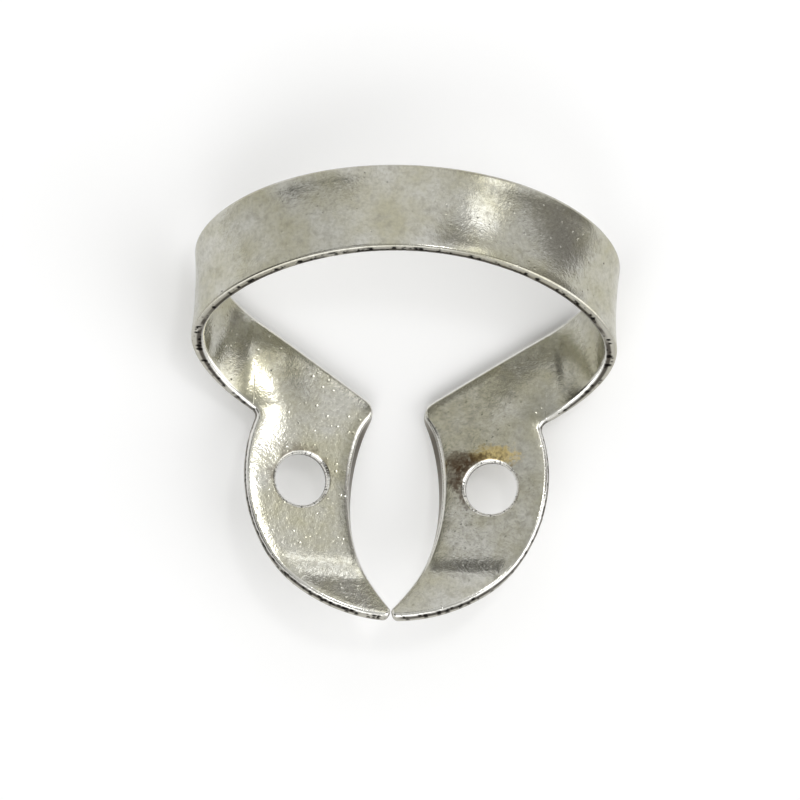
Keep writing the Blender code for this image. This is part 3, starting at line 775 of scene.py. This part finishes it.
# %% Stains: side, place from the hole's middle, reach, colour and strength
STAINS = ((1, (0.2, 2.0), (1.7, 0.75), STAIN_STRAW, 0.7),
          (1, (-3.0, 1.0), (0.25, 1.1), STAIN_STRAW, 0.8),
          (1, (-2.1, 1.75), (1.1, 0.7), STAIN_BROWN, 0.65),
          (1, (-2.35, 0.9), (0.65, 1.1), STAIN_BROWN, 0.5),
          (1, (-0.6, 0.6), (2.0, 1.95), STAIN_BROWN, 0.8),
          (-1, (0.3, 0.35), (2.0, 1.9), STAIN_BROWN, 0.5))
FRAY_SIZE = 0.8 * MM
FRAY_SHARE, SPECKLE_SHARE = 1.4, 1.2
fray = add_node(finish, "ShaderNodeTexNoise", {
    "Vector": spot, "Scale": 1 / FRAY_SIZE, "Detail": 3.0, "Roughness": 0.65})
print("stains:", len(STAINS))

# %% Lay the stains on the steel
for side_sign, (out, back), (reach_out, reach_back), code, strength in STAINS:
    place = spring_back(plate_point((HOLE_OUT + out * MM, HOLE_BACK + back * MM),
                                    SHEET_THICKNESS / 2))
    frayed = gap_from_axis(side_sign, place, reach_out * MM, reach_back * MM)
    for noise, share in ((fray, FRAY_SHARE), (dents, SPECKLE_SHARE)):
        frayed = add_node(finish, "ShaderNodeMath", {
            0: noise, 1: share, 2: frayed}, operation="MULTIPLY_ADD")
    amount = add_node(finish, "ShaderNodeMapRange", {
        "Value": frayed, "From Min": 2.45, "From Max": 1.8, "To Max": strength},
        interpolation_type="SMOOTHSTEP")
    colour = add_node(finish, "ShaderNodeMix", {
        "Factor": amount, "A": colour, "B": linear(code)}, data_type="RGBA")
print("nodes in the finish:", len(finish.nodes))

# %% [markdown]
# ### The rims of the holes
#
# The forceps' steel pins have rubbed the rim of each hole smooth, and it is painted near-white as
# a highlight. The rim is found by its distance from the punch's axis, measured in the plate's own
# directions.

# %% The rim and the bore, by the distance from the nearer punch's axis
RIM_BLEND = 0.05 * MM
left_gap, right_gap = (gap_from_axis(side_sign, plate_spot, 1.0, 1.0) for side_sign in (-1, 1))
axis_gap = add_node(finish, "ShaderNodeMath", {0: left_gap, 1: right_gap}, operation="MINIMUM")
rim_edge = HOLE_RADIUS + HOLE_RIM * (1 - math.cos(RIM_TURN))
rim = add_node(finish, "ShaderNodeMapRange", {
    "Value": axis_gap, "From Min": rim_edge + RIM_BLEND, "From Max": rim_edge})
bore = add_node(finish, "ShaderNodeMapRange", {
    "Value": axis_gap, "From Min": HOLE_RADIUS + RIM_BLEND / 2, "From Max": HOLE_RADIUS})
print("rim radius in mm:", round(rim_edge / MM, 2))

# %% [markdown]
# ### The sheared edge and the worn corners
#
# Each point of the sheet carries the notes from its cross-section, and the finish now reads them
# as attributes. The wall that the shear left is duller than the face. Just below its crisp corner
# the metal tore, which leaves a dark broken line. The crisp corner is painted near-white as a
# highlight. The layers lie over one another in the order in which the clamp was made and worn,
# but for the pits, which come last and are painted dark as the shade in them.

# %% The sheet's notes, and where the wall is torn
wall, deep, crisp, ground, pit = (
    add_node(finish, "ShaderNodeAttribute", attribute_name=name).outputs["Fac"]
    for name in ("wall", "deep", "crisp", "ground", "pit"))
torn = add_node(finish, "ShaderNodeMapRange", {"Value": tears, "From Min": 0.32, "From Max": 0.42})
for note, low, high in ((wall, 0.4, 0.8), (deep, 0.1, 0.18), (deep, 0.62, 0.5), (ground, 0.3, 0.1)):
    window = add_node(finish, "ShaderNodeMapRange", {
        "Value": note, "From Min": low, "From Max": high})
    torn = add_node(finish, "ShaderNodeMath", {0: torn, 1: window}, operation="MULTIPLY")
print("notes read: wall, deep, crisp, ground, pit")

# %% The layers: where each lies, how much of it covers, and its colour
# The crisp and rim layers paint a highlight near-white, and the pit layer paints the shade in the
# pits; the bore takes the ground face's dark colour.
LAYERS = ((wall, 0.8, WALL_STEEL), (ground, 0.95, GROUND_STEEL), (torn, 0.85, TORN_STEEL),
          (crisp, 0.9, WORN_AND_PAINTED_HIGHLIGHT), (rim, 0.9, WORN_AND_PAINTED_HIGHLIGHT), (bore, 0.9, GROUND_STEEL),
          (pit, 0.95, PAINTED_HOLLOW_SHADE))
for amount, most, code in LAYERS:
    share = add_node(finish, "ShaderNodeMath", {0: amount, 1: most}, operation="MULTIPLY")
    colour = add_node(finish, "ShaderNodeMix", {
        "Factor": share, "A": colour, "B": linear(code)}, data_type="RGBA")
print("nodes in the finish:", len(finish.nodes))

# %% How rough: the clouds set the base, and each layer adds to it or polishes it
ROUGHER = ((dull, 0.12), (wall, 0.14), (torn, 0.2), (crisp, -0.1), (rim, -0.06), (pit, 0.3))
rough = add_node(finish, "ShaderNodeMapRange", {
    "Value": clouds, "From Min": 0.3, "From Max": 0.7, "To Min": 0.15, "To Max": 0.21})
for amount, more in ROUGHER:
    rough = add_node(finish, "ShaderNodeMath", {
        0: amount, 1: more, 2: rough}, operation="MULTIPLY_ADD")
print("layers that change the roughness:", len(ROUGHER))

# %% How bumpy: heights in units of the dents' depth, and none on the worn rims
RELIEF = ((grain, 0.25), (dimple, -3.0), (nick, -1.2), (mottle, 0.6))
relief = add_node(finish, "ShaderNodeMath", {0: dents, 1: 0.5}, operation="MULTIPLY")
for bumps, rise in RELIEF:
    relief = add_node(finish, "ShaderNodeMath", {
        0: bumps, 1: rise, 2: relief}, operation="MULTIPLY_ADD")
bumpy = add_node(finish, "ShaderNodeMath", {0: 1.0, 1: rim}, operation="SUBTRACT")
bump = add_node(finish, "ShaderNodeBump", {
    "Height": relief, "Distance": DENT_DEPTH, "Strength": bumpy})
print("patterns in the relief:", len(RELIEF) + 1)

# %% The shader
shader = add_node(finish, "ShaderNodeBsdfPrincipled", {
    "Base Color": colour, "Metallic": 1.0, "Roughness": rough, "Normal": bump})
add_node(finish, "ShaderNodeOutputMaterial", {"Surface": shader})
print("nodes in the finish:", len(finish.nodes))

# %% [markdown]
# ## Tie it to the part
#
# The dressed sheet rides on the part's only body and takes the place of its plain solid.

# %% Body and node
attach(clamp, "root")
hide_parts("clamp")
print("dressed:", clamp.name, "with", steel.name)

# %% [markdown]
# ## The table
#
# The photograph was taken on a white sheet in a light tent. The table here is a pale plain
# plane. Part of its brightness reaches only the camera and reflections, so that the background
# comes out white while the lamps stay at a level that suits the steel, and it still catches the
# clamp's shadows.

# %% The table's plane
TABLE_SIZE = 900 * MM
shape = bmesh.new()
bmesh.ops.create_grid(shape, x_segments=1, y_segments=1, size=TABLE_SIZE / 2)
table_mesh = bpy.data.meshes.new("table")
shape.to_mesh(table_mesh)
shape.free()
table = bpy.data.objects.new("table", table_mesh)
bpy.context.scene.collection.objects.link(table)
print("table side:", round(TABLE_SIZE / MM), "mm")

# %% Its white paper: a brighter sheet for the camera and reflections than for the light it gives
SEEN_PAPER, PLAIN_PAPER, PAPER_GLOW = "#F4F4F5", "#DADAD8", 0.1
paper = bpy.data.materials.new("white_paper")
paper.use_nodes = True
sheet = paper.node_tree
sheet.nodes.clear()
path = add_node(sheet, "ShaderNodeLightPath").outputs
seen = path["Is Camera Ray"]
for ray in ("Is Glossy Ray", "Is Transmission Ray"):
    seen = add_node(sheet, "ShaderNodeMath", {0: seen, 1: path[ray]}, operation="MAXIMUM")
lit = add_node(sheet, "ShaderNodeBsdfDiffuse", {"Color": linear(SEEN_PAPER)})
plain = add_node(sheet, "ShaderNodeBsdfDiffuse", {"Color": linear(PLAIN_PAPER)})
glow = add_node(sheet, "ShaderNodeEmission", {"Color": linear("#FFFFFF"), "Strength": PAPER_GLOW})
shown = add_node(sheet, "ShaderNodeAddShader", {0: lit, 1: glow})
either = add_node(sheet, "ShaderNodeMixShader", {0: seen, 1: plain, 2: shown})
add_node(sheet, "ShaderNodeOutputMaterial", {"Surface": either})
table_mesh.materials.append(paper)
print("nodes in the paper:", len(sheet.nodes))

# %% [markdown]
# ## Light
#
# Metal shows little of its own colour: what is seen on it is the room. Here the room is a
# photographer's light tent. Its walls are bright at the horizon and a little darker overhead. On
# the right its flap stands open on a dark room, which makes the dark bands on the bow's right end
# and in the left neck. The tent's darker seams make the dark arcs that cross the necks and the
# lifted points of the jaws. Two bright windows, one to the right and one in front, light the white
# lines along the worn corners, which the finish also paints near-white as a highlight. Small lamps
# make the sparkling spots on the left neck and the bow, and the light band where the left jaw
# starts to rise.

# %% The tent's walls
world = bpy.data.worlds.new("light_tent")
bpy.context.scene.world = world
world.use_nodes = True
tent = world.node_tree
tent.nodes.clear()
direction = add_node(tent, "ShaderNodeTexCoord").outputs["Generated"]
climb = add_node(tent, "ShaderNodeSeparateXYZ", {0: direction}).outputs["Z"]
walls = add_node(tent, "ShaderNodeValToRGB", {0: climb})
WALL_TONES = ((0.0, "#FAFAF8"), (0.55, "#EEEEEB"), (0.8, "#F2F2EF"), (0.97, "#C4C4C0"))
for stop, (height, code) in enumerate(WALL_TONES):
    point = walls.color_ramp.elements[stop] if stop < 2 else walls.color_ramp.elements.new(height)
    point.position = height
    point.color = linear(code)
print("tent walls:", [round(point.position, 2) for point in walls.color_ramp.elements])

# %% The tent's dark gaps and bright windows
def toward(azimuth, elevation):
    """A direction from the clamp. Azimuth 0 is behind it, and 90 is to its right."""
    turn, rise = math.radians(azimuth), math.radians(elevation)
    flat = math.cos(rise)
    return Vector((math.sin(turn) * flat, math.cos(turn) * flat, math.sin(rise)))


# A tone is a colour and its strength. A patch has an azimuth, an elevation, the angles from its
# middle at which it starts to fade and has faded out, and a tone.
GAP, SEAM = ("#9A9792", 1.0), ("#54514D", 1.0)
PANEL, WINDOW = ("#FFFFFF", 1.1), ("#FFFFFF", 2.4)
PATCHES = ((-6, 30, 12, 24, PANEL), (-42, 53, 4, 8, PANEL),
           (104, 34, 16, 34, WINDOW), (-162, 40, 14, 32, WINDOW),
           (69, 2, 4, 14, GAP), (66, 16, 5, 15, GAP), (60, 32, 5, 14, GAP),
           (47, 39, 3, 9, SEAM), (-52, 40, 6, 11, SEAM), (-33, 47, 3, 6, SEAM),
           (-28, 41, 3, 7.5, SEAM), (20, 16, 4, 10, GAP), (-102, 38, 12, 26, SEAM))
tone = walls
for azimuth, elevation, inner, outer, (code, gain) in PATCHES:
    facing = add_node(tent, "ShaderNodeVectorMath", {0: direction, 1: toward(azimuth, elevation)},
                      operation="DOT_PRODUCT").outputs["Value"]
    amount = add_node(tent, "ShaderNodeMapRange", {
        "Value": facing, "From Min": math.cos(math.radians(outer)),
        "From Max": math.cos(math.radians(inner))}, interpolation_type="SMOOTHSTEP")
    tone = add_node(tent, "ShaderNodeMix", {
        "Factor": amount, "A": tone, "B": [gain * part for part in linear(code)]}, data_type="RGBA")
print("patches on the tent:", len(PATCHES))

# %% The tent as metal sees it, and plain white for the camera
TENT_STRENGTH = 0.9
inside = add_node(tent, "ShaderNodeBackground", {"Color": tone, "Strength": TENT_STRENGTH})
white = add_node(tent, "ShaderNodeBackground", {"Color": linear("#FFFFFF"), "Strength": 1.0})
camera_ray = add_node(tent, "ShaderNodeLightPath").outputs["Is Camera Ray"]
air = add_node(tent, "ShaderNodeMixShader", {0: camera_ray, 1: inside, 2: white})
add_node(tent, "ShaderNodeOutputWorld", {"Surface": air})
print("nodes in the tent:", len(tent.nodes))

# %% A lamp: the direction it stands in, how large it is and its power in watts
def soft_lamp(name, azimuth, elevation, size, watts):
    """A square soft box that faces the clamp."""
    way = toward(azimuth, elevation)
    data = bpy.data.lights.new(name, "AREA")
    data.shape = "SQUARE"
    data.size = size
    data.energy = watts
    lamp = bpy.data.objects.new(name, data)
    lamp.matrix_world = (Matrix.Translation(way * LAMP_DISTANCE)
                         @ way.to_track_quat("Z", "Y").to_matrix().to_4x4())
    bpy.context.scene.collection.objects.link(lamp)


LAMP_DISTANCE = 300 * MM
for lamp in (("lamp_over_neck", 25, 62, 40 * MM, 0.072),
             ("lamp_behind_right", 31, 28, 50 * MM, 0.014),
             ("lamp_over_bow", 35, 43, 46 * MM, 0.011)):
    soft_lamp(*lamp)

# %% [markdown]
# ## Camera
#
# The camera looks almost straight down on the table, as the photograph does, from so far away
# that there is hardly any perspective.

# %% Where the camera stands, and where the clamp's axis falls in the picture
CAMERA_CLIMB = math.radians(97.25)
CAMERA_AZIMUTH = math.radians(1.9)
CAMERA_ROLL = math.radians(2.73)
CAMERA_DISTANCE = 400 * MM
PIXELS_PER_METRE = 16340
AXIS_PIXEL = (401.95, 391.5)
FRAME_PIXELS = 800
AIM = Vector((0.0, 0.0, 5 * MM))
print("the camera leans %.1f degrees off straight down" % (math.degrees(CAMERA_CLIMB) - 90))

# %% Aim it, roll it and slide it sideways
behind = Vector((-math.sin(CAMERA_AZIMUTH), -math.cos(CAMERA_CLIMB) * math.cos(CAMERA_AZIMUTH),
                 math.sin(CAMERA_CLIMB) * math.cos(CAMERA_AZIMUTH))).normalized()
sideways = (Vector((1, 0, 0)) - behind * behind.x).normalized()
up = behind.cross(sideways)
right = sideways * math.cos(CAMERA_ROLL) + up * math.sin(CAMERA_ROLL)
above = up * math.cos(CAMERA_ROLL) - sideways * math.sin(CAMERA_ROLL)
pixels_right, pixels_down = (FRAME_PIXELS / 2 - pixel for pixel in AXIS_PIXEL)
slide = (right * pixels_right - above * pixels_down) / PIXELS_PER_METRE
print("slid by %.2f mm" % (slide.length / MM))

# %% The camera itself
lens = bpy.data.cameras.new("camera")
lens.sensor_width = 36.0
lens.lens = lens.sensor_width * PIXELS_PER_METRE * CAMERA_DISTANCE / FRAME_PIXELS
camera = bpy.data.objects.new("camera", lens)
camera.matrix_world = Matrix.Translation(AIM + behind * CAMERA_DISTANCE + slide) @ Matrix(
    (right, above, behind)).transposed().to_4x4()
bpy.context.scene.collection.objects.link(camera)
bpy.context.scene.camera = camera
bpy.context.scene.view_settings.view_transform = "Standard"
print("focal length: %.0f mm" % lens.lens)
